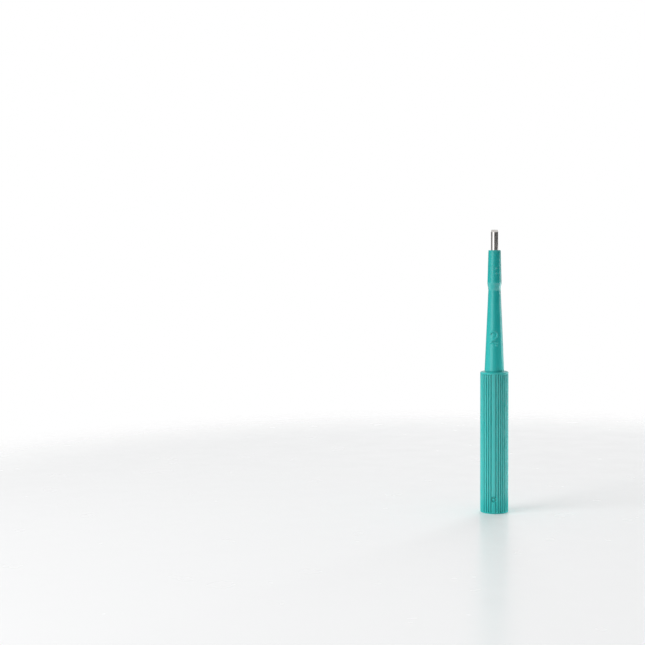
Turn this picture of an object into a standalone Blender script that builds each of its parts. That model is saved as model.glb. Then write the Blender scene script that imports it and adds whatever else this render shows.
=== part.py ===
"""Disposable biopsy punch with a 2 mm cut, standing on the rear end of its handle.

Two pieces: a one-piece moulded plastic handle (ribbed grip, tapered neck, collar) and
a seamless steel tube with a sharpened rim, seated in a blind bore in the handle's tip.

Frame: metres, origin at the centre of the rear end, +Z along the axis to the cutting rim.
The gate mark, the size numeral and the three dots face -Y.
"""

import math

import bmesh
import bpy
from mathutils import Matrix

MM = 0.001

# Cutting tube
CUT_DIAMETER = 2.0 * MM
TUBE_WALL = 0.25 * MM
TUBE_REACH = 7.2 * MM
TUBE_SEAT = 10.0 * MM
RIM_BEVEL = 0.8 * MM
RIM_LAND = 0.04 * MM

# How the tube sits in the handle
BORE_CLEARANCE = 0.1 * MM
FLOOR_CLEARANCE = 0.3 * MM

# Grip
GRIP_DIAMETER = 10.0 * MM
GRIP_LENGTH = 50.25 * MM
SHOULDER_EDGE = 0.5 * MM
REAR_EDGE = 0.3 * MM

# Grooves between the ribs of the grip
RIB_COUNT = 36
GROOVE_WIDTH = 0.5 * MM
GROOVE_DEPTH = 0.35 * MM
FRONT_RIM = 0.65 * MM
REAR_RIM = 0.35 * MM

# Gate mark: a round recess with a nub, on a rib that is two pitches wide
GATE_AZIMUTH = math.radians(-1.3)
GATE_HEIGHT = 5.2 * MM
GATE_DIAMETER = 2.3 * MM
GATE_FLOOR_DIAMETER = 1.6 * MM
GATE_DEPTH = 0.45 * MM
NUB_DIAMETER = 1.0 * MM
NUB_TOP_DIAMETER = 0.6 * MM
NUB_HEIGHT = 0.4 * MM
GATE_TO_GROOVE = 0.85

# Neck and collar
NECK_LENGTH = 42.95 * MM
NECK_BASE_DIAMETER = 6.95 * MM
FOOT_GROOVE_HEIGHT = 0.25 * MM
FOOT_GROOVE_DEPTH = 0.15 * MM
TIP_WALL = 0.8 * MM
TIP_EDGE = 0.15 * MM
COLLAR_LENGTH = 11.3 * MM
COLLAR_SWELL = 0.33 * MM
WAIST_DEPTH = 0.3 * MM
WAIST_DROP = 3.0 * MM

# Raised size numeral on the neck
NUMERAL_WIDTH = 3.05 * MM
NUMERAL_HEIGHT = 4.6 * MM
NUMERAL_BEAD = 0.6 * MM
NUMERAL_RELIEF = 0.28 * MM
NUMERAL_RISE = 12.35 * MM
NUMERAL_AZIMUTH = math.radians(-4)

# Raised dots: two on the collar and one under the numeral
DOT_DIAMETER = 0.8 * MM
DOT_RELIEF = 0.2 * MM
DOT_SPACING = 1.8 * MM
DOT_SETBACK = 6.4 * MM
NECK_DOT_RISE = 9.5 * MM
DOT_AZIMUTH = math.radians(13)

TURNED_STEPS = 72
ARC_STEPS = 4
BLEND_STEPS = 8
BOW_STEPS = 10
GROOVE_SIDES = 6
WELD = 0.001 * MM

# Sizes that follow from the ones above
TUBE_RADIUS = CUT_DIAMETER / 2 + TUBE_WALL
BORE_RADIUS = TUBE_RADIUS + BORE_CLEARANCE
TIP_RADIUS = BORE_RADIUS + TIP_WALL
COLLAR_RADIUS = TIP_RADIUS + COLLAR_SWELL
WAIST_RADIUS = COLLAR_RADIUS - WAIST_DEPTH
NECK_BASE_RADIUS = NECK_BASE_DIAMETER / 2
GRIP_RADIUS = GRIP_DIAMETER / 2
RIB_PITCH = math.tau / RIB_COUNT
FIRST_GROOVE = GATE_AZIMUTH + GATE_TO_GROOVE * RIB_PITCH

TIP_Z = GRIP_LENGTH + NECK_LENGTH
COLLAR_Z = TIP_Z - COLLAR_LENGTH
WAIST_Z = COLLAR_Z - WAIST_DROP
RIM_Z = TIP_Z + TUBE_REACH
TUBE_END_Z = TIP_Z - TUBE_SEAT
BORE_FLOOR_Z = TUBE_END_Z - FLOOR_CLEARANCE
DOT_Z = TIP_Z - DOT_SETBACK
NUMERAL_Z = GRIP_LENGTH + NUMERAL_RISE
DOT_HEIGHTS = (DOT_Z, DOT_Z - DOT_SPACING, GRIP_LENGTH + NECK_DOT_RISE)


def clear_scene():
    for old in list(bpy.data.objects):
        bpy.data.objects.remove(old, do_unlink=True)
    for old in list(bpy.data.collections):
        bpy.data.collections.remove(old)


def new_collection(name):
    collection = bpy.data.collections.new(name)
    bpy.context.scene.collection.children.link(collection)
    return collection


def plain_material(name, colour, roughness, metallic):
    material = bpy.data.materials.new(name)
    material.use_nodes = True
    shader = material.node_tree.nodes["Principled BSDF"]
    shader.inputs["Base Color"].default_value = (*colour, 1.0)
    shader.inputs["Roughness"].default_value = roughness
    shader.inputs["Metallic"].default_value = metallic
    material.diffuse_color = (*colour, 1.0)
    return material


def add_object(name, mesh, collection):
    obj = bpy.data.objects.new(name, mesh)
    collection.objects.link(obj)
    return obj


def make_cutter(obj):
    obj.hide_render = True
    obj.display_type = "WIRE"
    return obj


def arc(centre_x, centre_z, radius, start_degrees, end_degrees):
    """Points of a rounded edge in the profile plane, both ends included."""
    points = []
    for step in range(ARC_STEPS + 1):
        angle = math.radians(start_degrees + (end_degrees - start_degrees) * step / ARC_STEPS)
        points.append((centre_x + radius * math.cos(angle), centre_z + radius * math.sin(angle)))
    return points


def neck_radius(z):
    """Outer radius of the neck or collar at a height, without its edge rounding."""
    if z >= COLLAR_Z:
        return COLLAR_RADIUS + (TIP_RADIUS - COLLAR_RADIUS) * (z - COLLAR_Z) / COLLAR_LENGTH
    if z >= WAIST_Z:
        ease = 0.5 - 0.5 * math.cos(math.pi * (z - WAIST_Z) / WAIST_DROP)
        return WAIST_RADIUS + (COLLAR_RADIUS - WAIST_RADIUS) * ease
    rise = (z - GRIP_LENGTH) / (WAIST_Z - GRIP_LENGTH)
    return NECK_BASE_RADIUS + (WAIST_RADIUS - NECK_BASE_RADIUS) * rise


def front_point(radius, azimuth, z):
    """A place at an azimuth turned from -Y towards +X."""
    return (radius * math.sin(azimuth), -radius * math.cos(azimuth), z)


def turned_object(name, profile, closed, collection):
    """A profile in the XZ plane, its outer side running down, turned about the Z axis."""
    mesh = bpy.data.meshes.new(name)
    edges = [(i, i + 1) for i in range(len(profile) - 1)]
    if closed:
        edges.append((len(profile) - 1, 0))
    mesh.from_pydata([(x, 0.0, z) for x, z in profile], edges, [])
    obj = add_object(name, mesh, collection)
    screw = obj.modifiers.new("Turn", "SCREW")
    screw.axis = "Z"
    screw.steps = TURNED_STEPS
    screw.render_steps = TURNED_STEPS
    screw.use_merge_vertices = True
    screw.merge_threshold = WELD
    return obj


def handle_profile():
    """From the bore's floor up to the tip, then down the outside to the rear end."""
    profile = [(0.0, BORE_FLOOR_Z), (BORE_RADIUS, BORE_FLOOR_Z), (BORE_RADIUS, TIP_Z)]
    profile += arc(TIP_RADIUS - TIP_EDGE, TIP_Z - TIP_EDGE, TIP_EDGE, 90, 0)
    for step in range(BLEND_STEPS + 1):
        z = COLLAR_Z - WAIST_DROP * step / BLEND_STEPS
        profile.append((neck_radius(z), z))
    groove_z = GRIP_LENGTH + FOOT_GROOVE_HEIGHT
    profile.append((neck_radius(groove_z), groove_z))
    profile.append((neck_radius(groove_z) - FOOT_GROOVE_DEPTH, groove_z - FOOT_GROOVE_DEPTH / 2))
    profile.append((neck_radius(GRIP_LENGTH) - FOOT_GROOVE_DEPTH, GRIP_LENGTH))
    profile += arc(GRIP_RADIUS - SHOULDER_EDGE, GRIP_LENGTH - SHOULDER_EDGE, SHOULDER_EDGE, 90, 0)
    profile += arc(GRIP_RADIUS - REAR_EDGE, REAR_EDGE, REAR_EDGE, 0, -90)
    profile.append((0.0, 0.0))
    return profile


def tube_profile():
    """Down the bevel and the outside, across the buried end and up the bore."""
    bore = CUT_DIAMETER / 2
    return [
        (bore, RIM_Z),
        (bore + RIM_LAND, RIM_Z),
        (TUBE_RADIUS, RIM_Z - RIM_BEVEL),
        (TUBE_RADIUS, TUBE_END_Z),
        (bore, TUBE_END_Z),
    ]


def groove_cutter(collection):
    """Straight grooves with sloping sides and a flat bottom, on every pitch but the last.

    The pitch left out is the one at the gate mark, where the wide rib is.
    """
    bottom = REAR_RIM
    top = GRIP_LENGTH - FRONT_RIM
    half_turn = math.pi / GROOVE_SIDES
    section = Matrix.Diagonal((GROOVE_WIDTH / 2, GROOVE_DEPTH / math.cos(half_turn), 1, 1))
    mesh = bpy.data.meshes.new("grooves")
    shape = bmesh.new()
    for index in range(RIB_COUNT - 1):
        azimuth = FIRST_GROOVE + index * RIB_PITCH
        place = (
            Matrix.Translation(front_point(GRIP_RADIUS, azimuth, (bottom + top) / 2))
            @ Matrix.Rotation(azimuth, 4, "Z")
            @ section
            @ Matrix.Rotation(half_turn, 4, "Z")
        )
        bmesh.ops.create_cone(
            shape, cap_ends=True, segments=GROOVE_SIDES, radius1=1, radius2=1,
            depth=top - bottom, matrix=place,
        )
    shape.to_mesh(mesh)
    shape.free()
    return make_cutter(add_object("grooves", mesh, collection))


def radial_cone(name, azimuth, z, diameters, distances, segments, collection):
    """A blunt cone that points out of the axis: its two diameters at two distances from it."""
    inner, outer = distances
    mesh = bpy.data.meshes.new(name)
    shape = bmesh.new()
    place = (
        Matrix.Translation(front_point((inner + outer) / 2, azimuth, z))
        @ Matrix.Rotation(azimuth, 4, "Z")
        @ Matrix.Rotation(math.pi / 2, 4, "X")
    )
    bmesh.ops.create_cone(
        shape, cap_ends=True, segments=segments, radius1=diameters[0] / 2,
        radius2=diameters[1] / 2, depth=outer - inner, matrix=place,
    )
    shape.to_mesh(mesh)
    shape.free()
    return make_cutter(add_object(name, mesh, collection))


def raised_bead(name, points, diameter, collection):
    """A round bead along points that lie on the surface, made a closed mesh."""
    curve = bpy.data.curves.new(name, "CURVE")
    curve.dimensions = "3D"
    curve.bevel_depth = diameter / 2
    curve.bevel_resolution = 2
    curve.use_fill_caps = True
    spline = curve.splines.new("POLY")
    spline.points.add(len(points) - 1)
    for point, place in zip(spline.points, points):
        point.co = (*place, 1.0)
    path = add_object(name + "_path", curve, collection)
    bpy.context.view_layer.update()
    evaluated = path.evaluated_get(bpy.context.evaluated_depsgraph_get())
    mesh = bpy.data.meshes.new_from_object(evaluated)
    mesh.name = name
    shape = bmesh.new()
    shape.from_mesh(mesh)
    bmesh.ops.remove_doubles(shape, verts=shape.verts, dist=WELD)
    shape.to_mesh(mesh)
    shape.free()
    bead = add_object(name, mesh, collection)
    bead.matrix_world = path.matrix_world
    bpy.data.objects.remove(path, do_unlink=True)
    return make_cutter(bead)


def numeral_strokes():
    """The numeral 2 as centre lines, (across, up) from its middle: hook and foot."""
    half_width = (NUMERAL_WIDTH - NUMERAL_BEAD) / 2
    half_height = (NUMERAL_HEIGHT - NUMERAL_BEAD) / 2
    bow_up = half_height - half_width
    drop = bow_up + half_height
    corner_angle = math.atan2(-drop, -half_width)
    start_angle = math.radians(170)
    end_angle = corner_angle + math.acos(half_width / math.hypot(half_width, drop))
    hook = []
    for step in range(BOW_STEPS + 1):
        angle = start_angle + (end_angle - start_angle) * step / BOW_STEPS
        hook.append((half_width * math.cos(angle), bow_up + half_width * math.sin(angle)))
    hook.append((-half_width, -half_height))
    foot = [(-half_width, -half_height), (half_width, -half_height)]
    return {"numeral_hook": hook, "numeral_foot": foot}


def subdivide(line, spacing):
    """The same line with points no further apart than a spacing."""
    points = [line[0]]
    for start, end in zip(line[:-1], line[1:]):
        count = max(1, math.ceil(math.dist(start, end) / spacing))
        for step in range(1, count + 1):
            share = step / count
            points.append(tuple(a + (b - a) * share for a, b in zip(start, end)))
    return points


def wrap_on_neck(line, azimuth, z, sink):
    """Lay a flat line on the neck, its centre sunk below the surface."""
    middle = neck_radius(z)
    places = []
    for across, up in line:
        radius = neck_radius(z + up) - sink
        places.append(front_point(radius, azimuth + across / middle, z + up))
    return places


def add_boolean(obj, name, operation, other):
    modifier = obj.modifiers.new(name, "BOOLEAN")
    modifier.operation = operation
    modifier.solver = "EXACT"
    modifier.object = other


def dot_bead(name, z, collection):
    """A round dome on the neck or collar, the cap of a ball."""
    ball_radius = (DOT_DIAMETER**2 / 4 + DOT_RELIEF**2) / (2 * DOT_RELIEF)
    centre = neck_radius(z) + DOT_RELIEF - ball_radius
    mesh = bpy.data.meshes.new(name)
    shape = bmesh.new()
    bmesh.ops.create_uvsphere(
        shape, u_segments=16, v_segments=12, radius=ball_radius,
        matrix=Matrix.Translation(front_point(centre, DOT_AZIMUTH, z)),
    )
    shape.to_mesh(mesh)
    shape.free()
    return make_cutter(add_object(name, mesh, collection))


def make_handle(parts, cutters):
    handle = turned_object("handle", handle_profile(), False, parts)
    add_boolean(handle, "Cut grooves", "DIFFERENCE", groove_cutter(cutters))

    floor = GRIP_RADIUS - GATE_DEPTH
    widening = GATE_DIAMETER - GATE_FLOOR_DIAMETER
    recess = radial_cone(
        "gate_recess", GATE_AZIMUTH, GATE_HEIGHT,
        (GATE_FLOOR_DIAMETER, GATE_DIAMETER + widening),
        (floor, GRIP_RADIUS + GATE_DEPTH), 24, cutters,
    )
    narrowing = NUB_DIAMETER - NUB_TOP_DIAMETER
    nub = radial_cone(
        "gate_nub", GATE_AZIMUTH, GATE_HEIGHT,
        (NUB_DIAMETER + narrowing, NUB_TOP_DIAMETER),
        (floor - NUB_HEIGHT, floor + NUB_HEIGHT), 16, cutters,
    )
    add_boolean(handle, "Cut gate recess", "DIFFERENCE", recess)
    add_boolean(handle, "Join gate nub", "UNION", nub)

    bead_sink = NUMERAL_BEAD / 2 - NUMERAL_RELIEF
    for name, line in numeral_strokes().items():
        fine = subdivide(line, 1.5 * NUMERAL_BEAD)
        places = wrap_on_neck(fine, NUMERAL_AZIMUTH, NUMERAL_Z, bead_sink)
        bead = raised_bead(name, places, NUMERAL_BEAD, cutters)
        add_boolean(handle, "Join " + name, "UNION", bead)

    for index, z in enumerate(DOT_HEIGHTS):
        name = f"raised_dot_{index + 1}"
        add_boolean(handle, "Join " + name, "UNION", dot_bead(name, z, cutters))
    return handle


def finish(obj, material):
    obj.data.materials.append(material)
    obj.data.shade_smooth()
    return obj


def main():
    clear_scene()
    parts = new_collection("biopsy_punch")
    cutters = new_collection("cutters")
    teal = plain_material("teal_plastic", (0.035, 0.42, 0.40), 0.3, 0.0)
    steel = plain_material("polished_steel", (0.60, 0.58, 0.56), 0.15, 1.0)

    finish(make_handle(parts, cutters), teal)
    finish(turned_object("cutting_tube", tube_profile(), True, parts), steel)


main()
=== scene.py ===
"""A biopsy punch with a 2 mm cut, standing on the rear end of its handle.

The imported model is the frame. Two pieces are dressed over it: the moulded handle, with
its grooves, gate mark, numeral and dots in fine mesh, and the ground steel tube.
Metres throughout; the punch's axis is Z and its marks face -Y. An azimuth is an angle
round the axis, from -Y towards +X.
"""

import math

import bpy
import numpy as np
from mathutils import Matrix, Vector


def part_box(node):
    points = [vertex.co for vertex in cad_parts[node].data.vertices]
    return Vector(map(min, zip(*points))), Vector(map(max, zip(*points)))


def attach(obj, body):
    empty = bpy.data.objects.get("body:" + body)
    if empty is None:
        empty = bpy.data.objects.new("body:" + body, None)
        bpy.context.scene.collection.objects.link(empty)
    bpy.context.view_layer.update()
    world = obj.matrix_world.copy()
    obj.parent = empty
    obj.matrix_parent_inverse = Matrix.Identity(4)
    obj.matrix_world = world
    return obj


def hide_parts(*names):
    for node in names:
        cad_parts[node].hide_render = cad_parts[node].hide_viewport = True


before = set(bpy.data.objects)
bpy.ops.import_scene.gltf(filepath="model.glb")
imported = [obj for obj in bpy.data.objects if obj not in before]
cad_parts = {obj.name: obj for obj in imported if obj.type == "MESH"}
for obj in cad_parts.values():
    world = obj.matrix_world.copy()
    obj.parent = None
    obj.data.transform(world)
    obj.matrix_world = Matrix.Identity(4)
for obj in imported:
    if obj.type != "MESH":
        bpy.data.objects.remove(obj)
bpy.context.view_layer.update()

MM = 0.001

# Sizes that the CAD boxes give
HANDLE_LOW, HANDLE_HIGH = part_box("handle")
TUBE_LOW, TUBE_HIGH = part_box("cutting_tube")
GRIP_RADIUS = (HANDLE_HIGH[0] - HANDLE_LOW[0]) / 2
TIP_Z = HANDLE_HIGH[2]
RIM_Z = TUBE_HIGH[2]
TUBE_END_Z = TUBE_LOW[2]
TUBE_RADIUS = (TUBE_HIGH[0] - TUBE_LOW[0]) / 2

# Tube
BORE_RADIUS = 1.0 * MM
RIM_BEVEL = 0.8 * MM
RIM_LAND = 0.04 * MM
RIM_ROUNDING = 0.006 * MM
BEVEL_Z = RIM_Z - RIM_BEVEL

# Grip and its grooves; the floor is measured from the groove's middle to where its wall starts
GRIP_LENGTH = 50.25 * MM
SHOULDER_EDGE = 0.5 * MM
REAR_EDGE = 0.3 * MM
RIB_COUNT = 36
RIB_PITCH = math.tau / RIB_COUNT
RIB_HALF_WIDTH = math.pi * GRIP_RADIUS / RIB_COUNT
GROOVE_DEPTH = 0.42 * MM
GROOVE_HALF_FLOOR = 0.10 * MM
RIB_SQUARENESS = 2.6
GROOVE_RUN_OUT = 0.14 * MM
FRONT_RIM = 0.65 * MM
REAR_RIM = 0.35 * MM
GROOVE_TOP = GRIP_LENGTH - FRONT_RIM

# Gate mark, on a rib that is two pitches wide. The next groove is a share of a pitch away,
# and the mark's flat floor is worked out no further round than its reach, an angle.
GATE_AZIMUTH = math.radians(-1.3)
GATE_HEIGHT = 5.2 * MM
GATE_DIAMETER = 2.3 * MM
GATE_DEPTH = 0.45 * MM
GATE_WALL = 0.35 * MM
GATE_FLOOR_REACH = 0.4
NUB_DIAMETER = 1.0 * MM
NUB_HEIGHT = 0.4 * MM
GATE_TO_GROOVE = 0.85
FIRST_GROOVE = GATE_AZIMUTH + GATE_TO_GROOVE * RIB_PITCH

# Neck and collar
NECK_BASE_RADIUS = 3.475 * MM
FOOT_GROOVE_HEIGHT = 0.25 * MM
FOOT_GROOVE_DEPTH = 0.15 * MM
TIP_RADIUS = 2.15 * MM
TIP_EDGE = 0.15 * MM
COLLAR_LENGTH = 11.3 * MM
COLLAR_RADIUS = 2.48 * MM
WAIST_RADIUS = 2.18 * MM
WAIST_DROP = 3.0 * MM
COLLAR_Z = TIP_Z - COLLAR_LENGTH
WAIST_Z = COLLAR_Z - WAIST_DROP
FOOT_GROOVE_TOP = GRIP_LENGTH + FOOT_GROOVE_HEIGHT

# Bore for the tube; the fit is the gap round the tube
BORE_FIT = 0.004 * MM
BORE_LEAD_IN = 0.06 * MM
FLOOR_CLEARANCE = 0.3 * MM
BORE_FLOOR_Z = TUBE_END_Z - FLOOR_CLEARANCE

# Raised size numeral; a bead's section is flatter on top the nearer its power is to zero
NUMERAL_WIDTH = 3.05 * MM
NUMERAL_HEIGHT = 4.6 * MM
NUMERAL_BEAD = 0.6 * MM
NUMERAL_RELIEF = 0.28 * MM
NUMERAL_Z = GRIP_LENGTH + 12.35 * MM
NUMERAL_AZIMUTH = math.radians(-4)
BOW_START = math.radians(170)
BEAD_POWER = 0.6

# Raised dots: one under the numeral and two on the collar
DOT_DIAMETER = 0.8 * MM
DOT_RELIEF = 0.2 * MM
DOT_SPACING = 1.8 * MM
DOT_Z = TIP_Z - 6.4 * MM
DOT_AZIMUTH = math.radians(13)
NECK_DOT_Z = GRIP_LENGTH + 9.5 * MM
DOT_HEIGHTS = (NECK_DOT_Z, DOT_Z - DOT_SPACING, DOT_Z)

# How fine the mesh is: numbers of columns and steps, the distance from an edge to a ring
# that supports it, and the longest step between rings in each zone
TUBE_COLUMNS = 160
REAR_COLUMNS = 72
FLOOR_COLUMNS = 96
ARC_STEPS = 6
LEAD_IN_STEPS = 4
RUN_OUT_STEPS = 5
WAIST_STEPS = 14
BOW_POINTS = 25
SUPPORT = 0.03 * MM
GATE_STEP = 0.05 * MM
NUMERAL_STEP = 0.06 * MM
COLLAR_STEP = 1.6 * MM
TUBE_STEP = 2 * MM
NECK_STEP = 2.5 * MM
GRIP_STEP = 3.5 * MM

# Gaps between a finely stepped zone and the plain rings beside it
ZONE_GAP = 1 * MM
FOOT_GAP = 0.7 * MM
WAIST_GAP = 0.5 * MM
DOTS_GAP = 0.8 * MM
RIM_GAP = 0.3 * MM

# Single rings: on the rear end, below the gate mark, above the collar's foot, up the bevel
REAR_RING_RADII = (2.0 * MM, 3.6 * MM)
BELOW_GATE_Z = 2.2 * MM
COLLAR_RINGS = (0.3 * MM, 1.2 * MM)
BEVEL_SOFTENING = 0.05 * MM
BEVEL_SHARES = (0.06, 0.3, 0.6, 0.94, 0.985)

# Columns: across half a groove from its middle, beside the gate mark and on the neck.
# The grip's azimuths are rounded to a number of digits, so that equal ones are one column.
GROOVE_COLUMNS = np.array([0.0, 0.07, 0.1, 0.11, 0.14, 0.19, 0.26, 0.34]) * MM
GATE_MARGIN = 0.1 * MM
AZIMUTH_DIGITS = 6
NECK_FINE_START = math.radians(-36)
NECK_FINE_END = math.radians(52)
NECK_FINE = math.radians(1.0)
NECK_COARSE = math.radians(2.5)

# Plastic
PLASTIC_DEEP = (0.010, 0.440, 0.420, 1.0)
PLASTIC_LIGHT = (0.012, 0.460, 0.440, 1.0)
# Painted shade: a darker colour deep in the grooves and the gate mark, and the depths over which it
# sets in
PLASTIC_PAINTED_GROOVE_SHADE = (0.007, 0.330, 0.310, 1.0)
GROOVE_SHADE_START = 0.10 * MM
GROOVE_SHADE_END = 0.34 * MM
PLASTIC_GLOSS = (0.17, 0.24)
PLASTIC_IOR = 1.55
PLASTIC_WAVE = 0.003 * MM
PLASTIC_SKIN = 0.0003 * MM

# Steel
STEEL_DULL = (0.52, 0.495, 0.475, 1.0)
STEEL_BRIGHT = (0.66, 0.64, 0.62, 1.0)
STEEL_GLOSS = (0.08, 0.16)
STEEL_LINE_DEPTH = 0.0012 * MM
BEVEL_BLUR = 0.03 * MM

# Ranges of a noise that tones and roughnesses follow
NOISE_NARROW = (0.3, 0.7)
NOISE_MIDDLE = (0.25, 0.75)
NOISE_WIDE = (0.2, 0.8)

# Camera, as the photograph was taken
CAMERA_PLACE = (0.0, -498.0 * MM, 100.0 * MM)
CAMERA_LENS = 78.1
CAMERA_SENSOR = 36.0
CAMERA_NEAR = 0.01
CAMERA_YAW = math.radians(7.02)
CAMERA_PITCH = math.radians(3.70)
CAMERA_ROLL = math.radians(-0.39)

# Softboxes: azimuth in degrees, and distance, width, lowest and highest edge in metres.
# The small ones light the punch and not the table; only the rim one shows as a highlight.
SOFTBOXES = {
    "key_softbox": dict(
        azimuth=-56, distance=0.70, width=0.48, bottom=-0.010, top=0.700,
        radiance=3.5, lights_table=True, shows=False,
    ),
    "back_softbox": dict(
        azimuth=170, distance=0.70, width=0.48, bottom=-0.010, top=0.700,
        radiance=3.0, lights_table=True, shows=False,
    ),
    "rim_softbox": dict(
        azimuth=115, distance=0.10, width=0.06, bottom=0.050, top=0.092,
        radiance=2.2, lights_table=False, shows=True,
    ),
    "right_softbox": dict(
        azimuth=95, distance=0.08, width=0.04, bottom=0.002, top=0.041,
        radiance=9.0, lights_table=False, shows=False,
    ),
    "left_softbox": dict(
        azimuth=-75, distance=0.09, width=0.05, bottom=0.002, top=0.045,
        radiance=5.0, lights_table=False, shows=False,
    ),
}

# What reflections see around the punch: azimuth in degrees where each level starts
WALL_RING = ((-180, 0.2), (-92, 0.7), (-56, 2.5), (-20, 0.45), (6, 0.1))
GROUND_RING = ((-180, 0.1), (-125, 2.1))
RING_BLUR = 5
BELOW_LEVEL = 0.8
TOP_LEVEL = 1.0

# Elevations in degrees over which the ground, the wall and the top each take over
GROUND_BAND = (-24, -14)
WALL_BAND = (-5, -3)
TOP_BAND = (4, 12)

# The fill light, which rises from the wall's level to the top's over a band of elevation
WALL_FILL = 0.1
TOP_FILL = 0.7
FILL_BAND = (15, 50)

# Table: its look fades out over one band of radius, and its reflection in the punch nearer by
FLOOR_RADIUS = 0.30
FLOOR_RINGS = (0.18, 0.1, 0.04, 0.01)
FLOOR_FADE = (0.19, 0.294)
FLOOR_REFLECTED_FADE = (0.02, 0.04)
FLOOR_COLOUR = (0.93, 0.935, 0.94, 1.0)
FLOOR_GLOSS = (0.22, 0.28)
FLOOR_LIFT = 0.08
FLOOR_IOR = 1.17

# Beyond this band of radius the table is dark for diffuse light, so less bounces up from it
FLOOR_PALE = (0.07, 0.13)
FLOOR_BOUNCE = (0.15, 0.15, 0.15, 1.0)

WHITE = (1.0, 1.0, 1.0, 1.0)


# Mesh helpers


def smooth(t):
    """A rise from 0 to 1 with soft ends."""
    t = np.clip(t, 0.0, 1.0)
    return t * t * (3.0 - 2.0 * t)


def spread(start, end, step):
    """Numbers from start to end, both included, no more than a step apart."""
    return list(np.linspace(start, end, max(2, int(math.ceil((end - start) / step)) + 1)))


def even_azimuths(count):
    return np.linspace(-math.pi, math.pi, count, endpoint=False)


def wrapped(azimuth):
    """The same azimuth between minus and plus half a turn."""
    return (azimuth + math.pi) % math.tau - math.pi


def azimuth_after(azimuths, index):
    """The azimuth of the column after this one; after the last comes the first, a turn on."""
    if index + 1 < len(azimuths):
        return azimuths[index + 1]
    return azimuths[0] + math.tau


def arc(centre_r, centre_z, radius, start_degrees, end_degrees, steps=ARC_STEPS):
    """Profile points (radius, height) along a rounded edge."""
    angles = np.radians(np.linspace(start_degrees, end_degrees, steps + 1))
    return [(centre_r + radius * math.cos(a), centre_z + radius * math.sin(a)) for a in angles]


class Skin:
    """A skin made of rings round the Z axis, each stitched to the one before."""

    def __init__(self):
        self.points = []
        self.faces = []
        self.last = None

    def ring(self, azimuths, radii, z):
        """Add a ring and return it: the number of its first point, and its azimuths."""
        start = len(self.points)
        for azimuth, radius in zip(azimuths, np.broadcast_to(radii, len(azimuths))):
            self.points.append((radius * math.sin(azimuth), -radius * math.cos(azimuth), z))
        here = (start, azimuths)
        if self.last is not None:
            self.join(self.last, here)
        self.last = here
        return here

    def join(self, lower, upper):
        """Stitch two rings, with triangles where their columns differ in number."""
        lower_start, lower_azimuths = lower
        upper_start, upper_azimuths = upper
        lower_count = len(lower_azimuths)
        upper_count = len(upper_azimuths)
        if lower_count == upper_count:
            for i in range(lower_count):
                j = (i + 1) % lower_count
                self.faces.append(
                    (lower_start + i, lower_start + j, upper_start + j, upper_start + i)
                )
            return
        i = 0
        j = 0
        while i < lower_count or j < upper_count:
            next_lower = azimuth_after(lower_azimuths, i)
            next_upper = azimuth_after(upper_azimuths, j)
            here_lower = lower_start + i % lower_count
            here_upper = upper_start + j % upper_count
            if j >= upper_count or (i < lower_count and next_lower <= next_upper):
                i += 1
                self.faces.append((here_lower, lower_start + i % lower_count, here_upper))
            else:
                j += 1
                self.faces.append((here_lower, upper_start + j % upper_count, here_upper))

    def axis_point(self, z):
        """Add a point on the axis and return its number."""
        self.points.append((0.0, 0.0, z))
        return len(self.points) - 1

    def close(self, ring, centre, upwards):
        """Fill a ring with triangles that meet at a point on the axis."""
        start, azimuths = ring
        count = len(azimuths)
        for i in range(count):
            j = (i + 1) % count
            face = (start + i, start + j, centre)
            self.faces.append(face if upwards else face[::-1])

    def build(self, name):
        mesh = bpy.data.meshes.new(name)
        mesh.from_pydata(self.points, [], self.faces)
        mesh.validate()
        mesh.shade_smooth()
        obj = bpy.data.objects.new(name, mesh)
        bpy.context.scene.collection.objects.link(obj)
        return obj


# Handle


def grip_azimuths():
    """Close together across each groove wall and all over the gate mark."""
    offsets = GROOVE_COLUMNS / GRIP_RADIUS
    reach = (GATE_DIAMETER / 2 + GATE_MARGIN) / GRIP_RADIUS
    found = []
    for index in range(RIB_COUNT):
        centre = FIRST_GROOVE + index * RIB_PITCH
        found += [centre + offset for offset in offsets]
        found += [centre - offset for offset in offsets[1:]]
        found.append(centre + RIB_PITCH / 2)
    found = [a for a in wrapped(np.array(found)) if abs(wrapped(a - GATE_AZIMUTH)) > reach]
    found += list(GATE_AZIMUTH + np.array(spread(-reach, reach, GATE_STEP / GRIP_RADIUS)))
    return np.unique(np.round(found, AZIMUTH_DIGITS))


def grooved_radii(azimuths, z):
    """The grip's radius round one ring, with its grooves and without the gate mark."""
    ribs_away = (azimuths - FIRST_GROOVE) / RIB_PITCH
    across = np.abs(ribs_away - np.round(ribs_away)) * RIB_PITCH * GRIP_RADIUS
    from_crest = np.clip((RIB_HALF_WIDTH - across) / (RIB_HALF_WIDTH - GROOVE_HALF_FLOOR), 0.0, 1.0)
    fall = GROOVE_DEPTH * (1.0 - (1.0 - from_crest**RIB_SQUARENESS) ** (1.0 / RIB_SQUARENESS))
    wide_rib = np.abs(wrapped(azimuths - FIRST_GROOVE + RIB_PITCH)) < RIB_PITCH / 2
    fall = np.where(wide_rib, 0.0, fall)
    ends = min(z - REAR_RIM, GROOVE_TOP - z) / GROOVE_RUN_OUT
    return GRIP_RADIUS - fall * smooth(ends)


def grip_radii(azimuths, z):
    """The grip's radius round one ring, with the grooves, the gate mark's floor and its nub."""
    radii = grooved_radii(azimuths, z)
    away = wrapped(azimuths - GATE_AZIMUTH)
    distance = np.hypot(away * GRIP_RADIUS, z - GATE_HEIGHT)
    recess = smooth((GATE_DIAMETER / 2 - distance) / GATE_WALL)
    floor = (GRIP_RADIUS - GATE_DEPTH) / np.cos(np.clip(away, -GATE_FLOOR_REACH, GATE_FLOOR_REACH))
    nub = np.sqrt(np.clip(1.0 - (distance / (NUB_DIAMETER / 2)) ** 2, 0.0, 1.0))
    floor = floor + NUB_HEIGHT * nub
    return radii + (floor - radii) * recess


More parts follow.
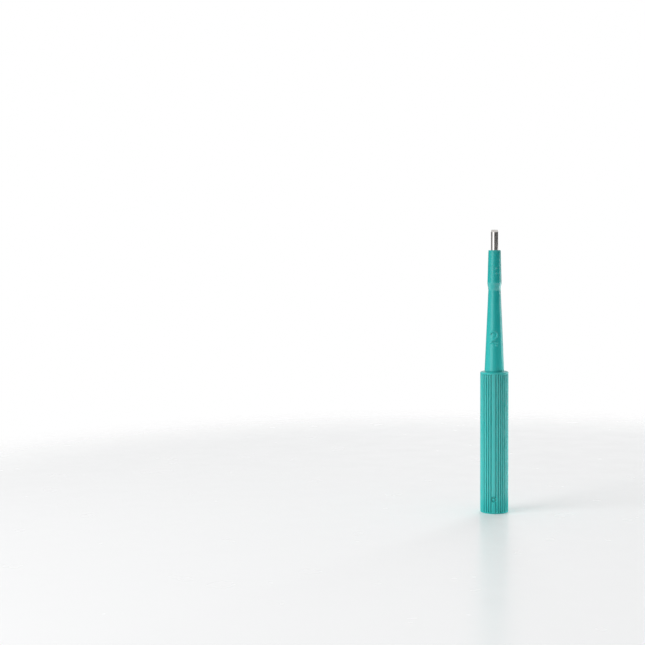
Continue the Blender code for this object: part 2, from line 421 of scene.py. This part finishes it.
def neck_radius(z):
    """The turned shape of the neck and collar."""
    if z >= COLLAR_Z:
        return COLLAR_RADIUS + (TIP_RADIUS - COLLAR_RADIUS) * (z - COLLAR_Z) / COLLAR_LENGTH
    if z >= WAIST_Z:
        ease = 0.5 - 0.5 * math.cos(math.pi * (z - WAIST_Z) / WAIST_DROP)
        return WAIST_RADIUS + (COLLAR_RADIUS - WAIST_RADIUS) * ease
    rise = (z - GRIP_LENGTH) / (WAIST_Z - GRIP_LENGTH)
    return NECK_BASE_RADIUS + (WAIST_RADIUS - NECK_BASE_RADIUS) * rise


def numeral_line():
    """Centre line of the numeral 2, (across, up) from its middle: bow, slant and foot."""
    half_width = (NUMERAL_WIDTH - NUMERAL_BEAD) / 2
    half_height = (NUMERAL_HEIGHT - NUMERAL_BEAD) / 2
    bow_up = half_height - half_width
    drop = bow_up + half_height
    corner_angle = math.atan2(-drop, -half_width)
    end_angle = corner_angle + math.acos(half_width / math.hypot(half_width, drop))
    angles = np.linspace(BOW_START, end_angle, BOW_POINTS)
    bow = [(half_width * math.cos(a), bow_up + half_width * math.sin(a)) for a in angles]
    return bow + [(-half_width, -half_height), (half_width, -half_height)]


NUMERAL_LINE = numeral_line()


def distance_to_line(across, up, line):
    """Distance of points to a broken line, all in one flat plane."""
    nearest = np.full(np.shape(across), np.inf)
    for (x0, y0), (x1, y1) in zip(line[:-1], line[1:]):
        dx = x1 - x0
        dy = y1 - y0
        share = np.clip(((across - x0) * dx + (up - y0) * dy) / (dx * dx + dy * dy), 0.0, 1.0)
        nearest = np.minimum(nearest, np.hypot(across - x0 - share * dx, up - y0 - share * dy))
    return nearest


def neck_radii(azimuths, z):
    """The neck's radius round one ring, with the numeral and the dots."""
    radius = neck_radius(z)
    radii = np.full(len(azimuths), radius)
    up = z - NUMERAL_Z
    if abs(up) < NUMERAL_HEIGHT / 2 + NUMERAL_STEP:
        across = wrapped(azimuths - NUMERAL_AZIMUTH) * neck_radius(NUMERAL_Z)
        distance = distance_to_line(across, up, NUMERAL_LINE)
        bead = np.clip(1.0 - (distance / (NUMERAL_BEAD / 2)) ** 2, 0.0, 1.0)
        radii = radii + NUMERAL_RELIEF * bead**BEAD_POWER
    for height in DOT_HEIGHTS:
        distance = np.hypot(wrapped(azimuths - DOT_AZIMUTH) * radius, z - height)
        dome = np.clip(1.0 - (distance / (DOT_DIAMETER / 2)) ** 2, 0.0, 1.0)
        radii = radii + DOT_RELIEF * dome
    return radii


def neck_azimuths():
    """Close together on the side with the marks, and coarser round the back."""
    fine = spread(NECK_FINE_START, NECK_FINE_END, NECK_FINE)
    coarse = spread(fine[-1], fine[0] + math.tau, NECK_COARSE)[1:-1]
    return np.sort(wrapped(np.array(fine + coarse)))


def grip_heights():
    """Heights of the rings between the two rounded edges of the grip."""
    gate_low = GATE_HEIGHT - GATE_DIAMETER / 2 - GATE_STEP
    gate_high = GATE_HEIGHT + GATE_DIAMETER / 2 + GATE_STEP
    run_out_step = GROOVE_RUN_OUT / RUN_OUT_STEPS
    heights = [REAR_EDGE + SUPPORT]
    heights += spread(REAR_RIM, REAR_RIM + GROOVE_RUN_OUT, run_out_step)
    heights += [REAR_RIM + GROOVE_RUN_OUT + SUPPORT, BELOW_GATE_Z]
    heights += spread(gate_low, gate_high, GATE_STEP)
    heights += spread(gate_high + ZONE_GAP, GROOVE_TOP - ZONE_GAP, GRIP_STEP)
    heights += [GROOVE_TOP - GROOVE_RUN_OUT - SUPPORT]
    heights += spread(GROOVE_TOP - GROOVE_RUN_OUT, GROOVE_TOP, run_out_step)
    return heights


def neck_heights():
    """Heights of the rings between the groove at the neck's foot and the rounded tip."""
    numeral_low = NECK_DOT_Z - DOT_DIAMETER / 2 - NUMERAL_STEP
    numeral_high = NUMERAL_Z + NUMERAL_HEIGHT / 2 + NUMERAL_STEP
    dots_low = DOT_Z - DOT_SPACING - DOT_DIAMETER / 2 - NUMERAL_STEP
    dots_high = DOT_Z + DOT_DIAMETER / 2 + NUMERAL_STEP
    heights = [FOOT_GROOVE_TOP + SUPPORT, FOOT_GROOVE_TOP + 2 * SUPPORT]
    heights += spread(FOOT_GROOVE_TOP + FOOT_GAP, numeral_low - ZONE_GAP, NECK_STEP)
    heights += spread(numeral_low, numeral_high, NUMERAL_STEP)
    heights += spread(numeral_high + ZONE_GAP, WAIST_Z - WAIST_GAP, NECK_STEP)
    heights += spread(WAIST_Z, COLLAR_Z, WAIST_DROP / WAIST_STEPS)
    heights += [COLLAR_Z + rise for rise in COLLAR_RINGS]
    heights += spread(dots_low, dots_high, NUMERAL_STEP)
    heights += spread(dots_high + DOTS_GAP, TIP_Z - TIP_EDGE - SUPPORT, COLLAR_STEP)
    return heights


def add_grip(skin):
    """From the rear end up to the shoulder; returns the ring that the rear end closes on."""
    rear = even_azimuths(REAR_COLUMNS)
    grip = grip_azimuths()
    inner_radius, outer_radius = REAR_RING_RADII
    rear_ring = skin.ring(rear, inner_radius, 0.0)
    skin.ring(rear, outer_radius, 0.0)
    skin.ring(grip, GRIP_RADIUS - REAR_EDGE - SUPPORT, 0.0)
    for radius, z in arc(GRIP_RADIUS - REAR_EDGE, REAR_EDGE, REAR_EDGE, -90, 0):
        skin.ring(grip, radius, z)
    for z in grip_heights():
        skin.ring(grip, grip_radii(grip, z), z)
    edge = arc(GRIP_RADIUS - SHOULDER_EDGE, GRIP_LENGTH - SHOULDER_EDGE, SHOULDER_EDGE, 0, 90)
    for radius, z in edge:
        skin.ring(grip, radius, z)
    skin.ring(grip, GRIP_RADIUS - SHOULDER_EDGE - SUPPORT, GRIP_LENGTH)
    return rear_ring


def add_neck(skin):
    """From the groove at the neck's foot up to the tip, and down the bore to its floor."""
    neck = neck_azimuths()
    groove_radius = neck_radius(FOOT_GROOVE_TOP) - FOOT_GROOVE_DEPTH
    skin.ring(neck, groove_radius + SUPPORT, GRIP_LENGTH)
    skin.ring(neck, groove_radius, GRIP_LENGTH + SUPPORT)
    skin.ring(neck, groove_radius, FOOT_GROOVE_TOP - FOOT_GROOVE_DEPTH / 2)
    skin.ring(neck, neck_radius(FOOT_GROOVE_TOP) - SUPPORT, FOOT_GROOVE_TOP)
    for z in neck_heights():
        skin.ring(neck, neck_radii(neck, z), z)
    for radius, z in arc(TIP_RADIUS - TIP_EDGE, TIP_Z - TIP_EDGE, TIP_EDGE, 0, 90):
        skin.ring(neck, radius, z)
    skin.ring(neck, TIP_RADIUS - TIP_EDGE - SUPPORT, TIP_Z)

    bore = TUBE_RADIUS + BORE_FIT
    mouth = bore + BORE_LEAD_IN
    skin.ring(neck, mouth + SUPPORT, TIP_Z)
    for radius, z in arc(mouth, TIP_Z - BORE_LEAD_IN, BORE_LEAD_IN, 90, 180, LEAD_IN_STEPS):
        skin.ring(neck, radius, z)
    skin.ring(neck, bore, BORE_FLOOR_Z)


def make_handle():
    """One closed skin, from the middle of the rear end to the middle of the bore's floor."""
    skin = Skin()
    rear_centre = skin.axis_point(0.0)
    rear_ring = add_grip(skin)
    add_neck(skin)
    skin.close(skin.last, skin.axis_point(BORE_FLOOR_Z), upwards=True)
    skin.close(rear_ring, rear_centre, upwards=False)
    return skin.build("moulded_handle")


# Tube


def tube_profile():
    """Up the outside, over the ground bevel and the thin land at the rim, down the bore."""
    outside = spread(TUBE_END_Z + TUBE_STEP, BEVEL_Z - ZONE_GAP, TUBE_STEP)
    profile = [(TUBE_RADIUS, TUBE_END_Z)]
    profile += [(TUBE_RADIUS, z) for z in outside]
    profile.append((TUBE_RADIUS, BEVEL_Z - BEVEL_SOFTENING))
    land_radius = BORE_RADIUS + RIM_LAND
    for share in BEVEL_SHARES:
        radius = TUBE_RADIUS + (land_radius - TUBE_RADIUS) * share
        profile.append((radius, BEVEL_Z + RIM_BEVEL * share))
    profile.append((land_radius - RIM_ROUNDING, RIM_Z))
    profile.append((BORE_RADIUS + RIM_ROUNDING, RIM_Z))
    profile.append((BORE_RADIUS, RIM_Z - 2 * RIM_ROUNDING))
    inside = spread(TUBE_END_Z, RIM_Z - RIM_GAP, TUBE_STEP)
    profile += [(BORE_RADIUS, z) for z in inside[::-1]]
    return profile


def make_tube():
    """One closed skin, whose last ring is stitched to its first."""
    skin = Skin()
    columns = even_azimuths(TUBE_COLUMNS)
    rings = [skin.ring(columns, radius, z) for radius, z in tube_profile()]
    skin.join(rings[-1], rings[0])
    return skin.build("ground_tube")


# Materials


class Nodes:
    """Short names for making and joining shader nodes."""

    def __init__(self, tree):
        self.tree = tree

    def add(self, kind, settings=None, **inputs):
        node = self.tree.nodes.new(kind)
        for name, value in (settings or {}).items():
            setattr(node, name, value)
        for name, value in inputs.items():
            self.feed(node, name.replace("_", " "), value)
        return node

    def feed(self, node, name, value):
        """Link an input to a socket, or set its value. A name made of digits is its number."""
        socket = node.inputs[int(name)] if name.isdigit() else node.inputs[name]
        if isinstance(value, bpy.types.NodeSocket):
            self.tree.links.new(value, socket)
        else:
            socket.default_value = value

    def maths(self, operation, a, b=0.0):
        node = self.add("ShaderNodeMath", {"operation": operation})
        self.feed(node, "0", a)
        self.feed(node, "1", b)
        return node.outputs[0]

    def average(self, a, b):
        return self.maths("ADD", self.maths("MULTIPLY", a, 0.5), self.maths("MULTIPLY", b, 0.5))

    def length(self, vector):
        node = self.add("ShaderNodeVectorMath", {"operation": "LENGTH"})
        self.feed(node, "0", vector)
        return node.outputs["Value"]

    def ramp(self, value, low, high, to_low=0.0, to_high=1.0):
        node = self.add("ShaderNodeMapRange", {"interpolation_type": "SMOOTHSTEP"})
        for name, entry in (
            ("Value", value), ("From Min", low), ("From Max", high),
            ("To Min", to_low), ("To Max", to_high),
        ):
            self.feed(node, name, entry)
        return node.outputs["Result"]

    def noise(self, place, scale, detail, roughness=0.5):
        node = self.add(
            "ShaderNodeTexNoise", Vector=place, Scale=scale, Detail=detail, Roughness=roughness
        )
        return node.outputs["Fac"]

    def stretched(self, place, scale):
        return self.add("ShaderNodeMapping", Vector=place, Scale=scale).outputs["Vector"]

    # The Mix node keeps a pair of inputs for each type of data, so they go by number

    def mix_colour(self, share, a, b):
        node = self.add("ShaderNodeMix", {"data_type": "RGBA"})
        self.feed(node, "0", share)
        self.feed(node, "6", a)
        self.feed(node, "7", b)
        return node.outputs[2]

    def blend(self, share, a, b):
        node = self.add("ShaderNodeMix", {"data_type": "FLOAT"})
        self.feed(node, "0", share)
        self.feed(node, "2", a)
        self.feed(node, "3", b)
        return node.outputs[0]

    def bump(self, height, distance, normal=None):
        node = self.add("ShaderNodeBump", Height=height, Distance=distance, Strength=1.0)
        if normal is not None:
            self.feed(node, "Normal", normal)
        return node.outputs["Normal"]


def new_material(name):
    material = bpy.data.materials.new(name)
    material.use_nodes = True
    tree = material.node_tree
    return material, Nodes(tree), tree.nodes["Principled BSDF"]


def painted_shade_share(nodes, place):
    """Where shade is painted: 1 deep in the grooves and the gate mark, 0 on the ribs and beyond the
    grooves' ends.
    """
    height = nodes.add("ShaderNodeSeparateXYZ", Vector=place).outputs["Z"]
    from_axis = nodes.length(nodes.stretched(place, (1.0, 1.0, 0.0)))
    sunk = nodes.maths("SUBTRACT", GRIP_RADIUS, from_axis)
    shade_in_groove = nodes.ramp(sunk, GROOVE_SHADE_START, GROOVE_SHADE_END)
    below_rim = nodes.ramp(height, GROOVE_TOP - GROOVE_RUN_OUT, GROOVE_TOP, 1.0, 0.0)
    above_rim = nodes.ramp(height, REAR_RIM, REAR_RIM + GROOVE_RUN_OUT)
    return nodes.maths("MULTIPLY", shade_in_groove, nodes.maths("MULTIPLY", below_rim, above_rim))


def moulded_plastic():
    """Teal plastic with a satin gloss: flow streaks, a fine skin, and painted shade in the grooves
    and the gate mark.
    """
    material, nodes, shader = new_material("teal_plastic")
    place = nodes.add("ShaderNodeTexCoord").outputs["Object"]
    cloud = nodes.noise(place, scale=350.0, detail=3.0)
    along = nodes.stretched(place, (1.0, 1.0, 0.06))
    streak = nodes.noise(along, scale=900.0, detail=4.0, roughness=0.6)
    tone = nodes.ramp(nodes.average(cloud, streak), *NOISE_NARROW)
    crest = nodes.mix_colour(tone, PLASTIC_DEEP, PLASTIC_LIGHT)
    # Painted shade darkens the colour deep in the grooves and the gate mark
    colour = nodes.mix_colour(painted_shade_share(nodes, place), crest, PLASTIC_PAINTED_GROOVE_SHADE)
    nodes.feed(shader, "Base Color", colour)
    touch = nodes.noise(place, scale=700.0, detail=5.0, roughness=0.65)
    nodes.feed(shader, "Roughness", nodes.ramp(touch, *NOISE_MIDDLE, *PLASTIC_GLOSS))
    wave = nodes.bump(nodes.noise(place, scale=450.0, detail=2.0), PLASTIC_WAVE)
    skin = nodes.bump(nodes.noise(place, scale=9000.0, detail=2.0), PLASTIC_SKIN, wave)
    nodes.feed(shader, "Normal", skin)
    shader.inputs["IOR"].default_value = PLASTIC_IOR
    return material


def ground_steel():
    """Bright drawn tube with fine lines along it, and finer ones round the ground bevel."""
    material, nodes, shader = new_material("tube_steel")
    place = nodes.add("ShaderNodeTexCoord").outputs["Object"]
    height = nodes.add("ShaderNodeSeparateXYZ", Vector=place).outputs["Z"]
    drawn = nodes.stretched(place, (1.0, 1.0, 0.02))
    along = nodes.noise(drawn, scale=14000.0, detail=3.0, roughness=0.6)
    turned = nodes.stretched(place, (0.05, 0.05, 1.0))
    around = nodes.noise(turned, scale=30000.0, detail=3.0, roughness=0.6)
    on_bevel = nodes.ramp(height, BEVEL_Z - BEVEL_BLUR, BEVEL_Z + BEVEL_BLUR)
    lines = nodes.blend(on_bevel, along, around)
    cloud = nodes.noise(place, scale=1500.0, detail=3.0)
    tone = nodes.ramp(nodes.average(cloud, lines), *NOISE_NARROW)
    nodes.feed(shader, "Base Color", nodes.mix_colour(tone, STEEL_DULL, STEEL_BRIGHT))
    nodes.feed(shader, "Roughness", nodes.ramp(lines, *NOISE_WIDE, *STEEL_GLOSS))
    nodes.feed(shader, "Normal", nodes.bump(lines, STEEL_LINE_DEPTH))
    shader.inputs["Metallic"].default_value = 1.0
    return material


def floor_material():
    """A pale table with a faint gloss, which fades into the white background.

    A slight glow lifts what the camera and reflections see of it, less where it reflects.
    """
    material, nodes, shader = new_material("pale_table")
    place = nodes.add("ShaderNodeTexCoord").outputs["Object"]
    path = nodes.add("ShaderNodeLightPath").outputs
    radius = nodes.length(place)
    seen = nodes.maths("MAXIMUM", path["Is Camera Ray"], path["Is Glossy Ray"])
    near_punch = nodes.ramp(radius, *FLOOR_PALE, 1.0, 0.0)
    pale = nodes.maths("MAXIMUM", near_punch, seen)
    nodes.feed(shader, "Base Color", nodes.mix_colour(pale, FLOOR_BOUNCE, FLOOR_COLOUR))
    mirrored = nodes.add("ShaderNodeFresnel", IOR=FLOOR_IOR).outputs[0]
    glow = nodes.maths("MULTIPLY", seen, nodes.maths("SUBTRACT", 1.0, mirrored))
    nodes.feed(shader, "Emission Strength", nodes.maths("MULTIPLY", glow, FLOOR_LIFT))
    shader.inputs["Emission Color"].default_value = WHITE
    shader.inputs["IOR"].default_value = FLOOR_IOR
    blur = nodes.noise(place, scale=60.0, detail=3.0)
    nodes.feed(shader, "Roughness", nodes.ramp(blur, *NOISE_WIDE, *FLOOR_GLOSS))

    fade = nodes.ramp(radius, *FLOOR_FADE)
    reflected_fade = nodes.ramp(radius, *FLOOR_REFLECTED_FADE)
    fade = nodes.blend(path["Is Glossy Ray"], fade, reflected_fade)
    mix = nodes.add("ShaderNodeMixShader")
    nodes.feed(mix, "0", fade)
    nodes.feed(mix, "1", shader.outputs[0])
    nodes.feed(mix, "2", nodes.add("ShaderNodeBsdfTransparent").outputs[0])
    nodes.feed(nodes.tree.nodes["Material Output"], "Surface", mix.outputs[0])
    return material


# Studio

# Holds the two pieces, for the softboxes that light them and not the table
punch = bpy.data.collections.new("punch")


def make_floor():
    skin = Skin()
    columns = even_azimuths(FLOOR_COLUMNS)
    for radius in (FLOOR_RADIUS, *FLOOR_RINGS):
        skin.ring(columns, radius, 0.0)
    skin.close(skin.last, skin.axis_point(0.0), upwards=True)
    floor = skin.build("table")
    floor.data.materials.append(floor_material())


def make_world():
    """White for camera and transmission rays, and a plain studio for the others.

    Reflections see a wall, the ground in front of it, each a ring of plain levels, and a
    top. Diffuse light is a soft fill, mostly from above.
    """
    world = bpy.data.worlds.new("studio")
    world.use_nodes = True
    bpy.context.scene.world = world
    nodes = Nodes(world.node_tree)
    world.node_tree.nodes.clear()
    ray = nodes.add("ShaderNodeTexCoord").outputs["Generated"]
    parts = nodes.add("ShaderNodeSeparateXYZ", Vector=ray).outputs
    azimuth = nodes.maths("ARCTAN2", parts["X"], nodes.maths("MULTIPLY", parts["Y"], -1.0))

    def above(band):
        start, end = (math.sin(math.radians(elevation)) for elevation in band)
        return nodes.ramp(parts["Z"], start, end)

    def ring(zones):
        level = zones[0][1]
        for start, next_level in zones[1:]:
            edge = nodes.ramp(
                azimuth, math.radians(start - RING_BLUR), math.radians(start + RING_BLUR)
            )
            level = nodes.blend(edge, level, next_level)
        return level

    reflected = nodes.blend(above(GROUND_BAND), BELOW_LEVEL, ring(GROUND_RING))
    reflected = nodes.blend(above(WALL_BAND), reflected, ring(WALL_RING))
    reflected = nodes.blend(above(TOP_BAND), reflected, TOP_LEVEL)
    fill = nodes.blend(above(FILL_BAND), WALL_FILL, TOP_FILL)
    path = nodes.add("ShaderNodeLightPath").outputs
    seen = nodes.maths("MAXIMUM", path["Is Camera Ray"], path["Is Transmission Ray"])
    strength = nodes.blend(path["Is Glossy Ray"], fill, reflected)
    strength = nodes.blend(seen, strength, 1.0)
    background = nodes.add("ShaderNodeBackground", Color=WHITE, Strength=strength)
    nodes.add("ShaderNodeOutputWorld", Surface=background.outputs[0])


def add_softbox(name, azimuth, distance, width, bottom, top, radiance, lights_table, shows):
    """An upright rectangle of light that faces the punch and that the camera doesn't see."""
    light = bpy.data.lights.new(name, "AREA")
    light.shape = "RECTANGLE"
    light.size = width
    light.size_y = top - bottom
    light.energy = radiance * math.pi * width * (top - bottom)
    lamp = bpy.data.objects.new(name, light)
    turned = math.radians(azimuth)
    place = Vector((math.sin(turned), -math.cos(turned), 0.0)) * distance
    lamp.rotation_euler = (-place).to_track_quat("-Z", "Y").to_euler()
    lamp.location = place + Vector((0.0, 0.0, (bottom + top) / 2))
    lamp.visible_camera = False
    lamp.visible_glossy = shows
    if not lights_table:
        lamp.light_linking.receiver_collection = punch
    bpy.context.scene.collection.objects.link(lamp)


def make_camera():
    data = bpy.data.cameras.new("camera")
    data.lens = CAMERA_LENS
    data.sensor_width = CAMERA_SENSOR
    data.clip_start = CAMERA_NEAR
    camera = bpy.data.objects.new("camera", data)
    camera.matrix_world = (
        Matrix.Translation(CAMERA_PLACE)
        @ Matrix.Rotation(CAMERA_YAW, 4, "Z")
        @ Matrix.Rotation(math.pi / 2 - CAMERA_PITCH, 4, "X")
        @ Matrix.Rotation(CAMERA_ROLL, 4, "Z")
    )
    bpy.context.scene.collection.objects.link(camera)
    bpy.context.scene.camera = camera


def dress(piece, node, material):
    """Give a piece its material, put it in the punch's collection, parent it to the root, and hide
    the node it replaces.
    """
    punch.objects.link(piece)
    piece.data.materials.append(material)
    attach(piece, "root")
    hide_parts(node)


make_camera()
dress(make_handle(), "handle", moulded_plastic())
dress(make_tube(), "cutting_tube", ground_steel())
make_floor()
make_world()
for softbox, settings in SOFTBOXES.items():
    add_softbox(softbox, **settings)
bpy.context.scene.view_settings.view_transform = "Standard"
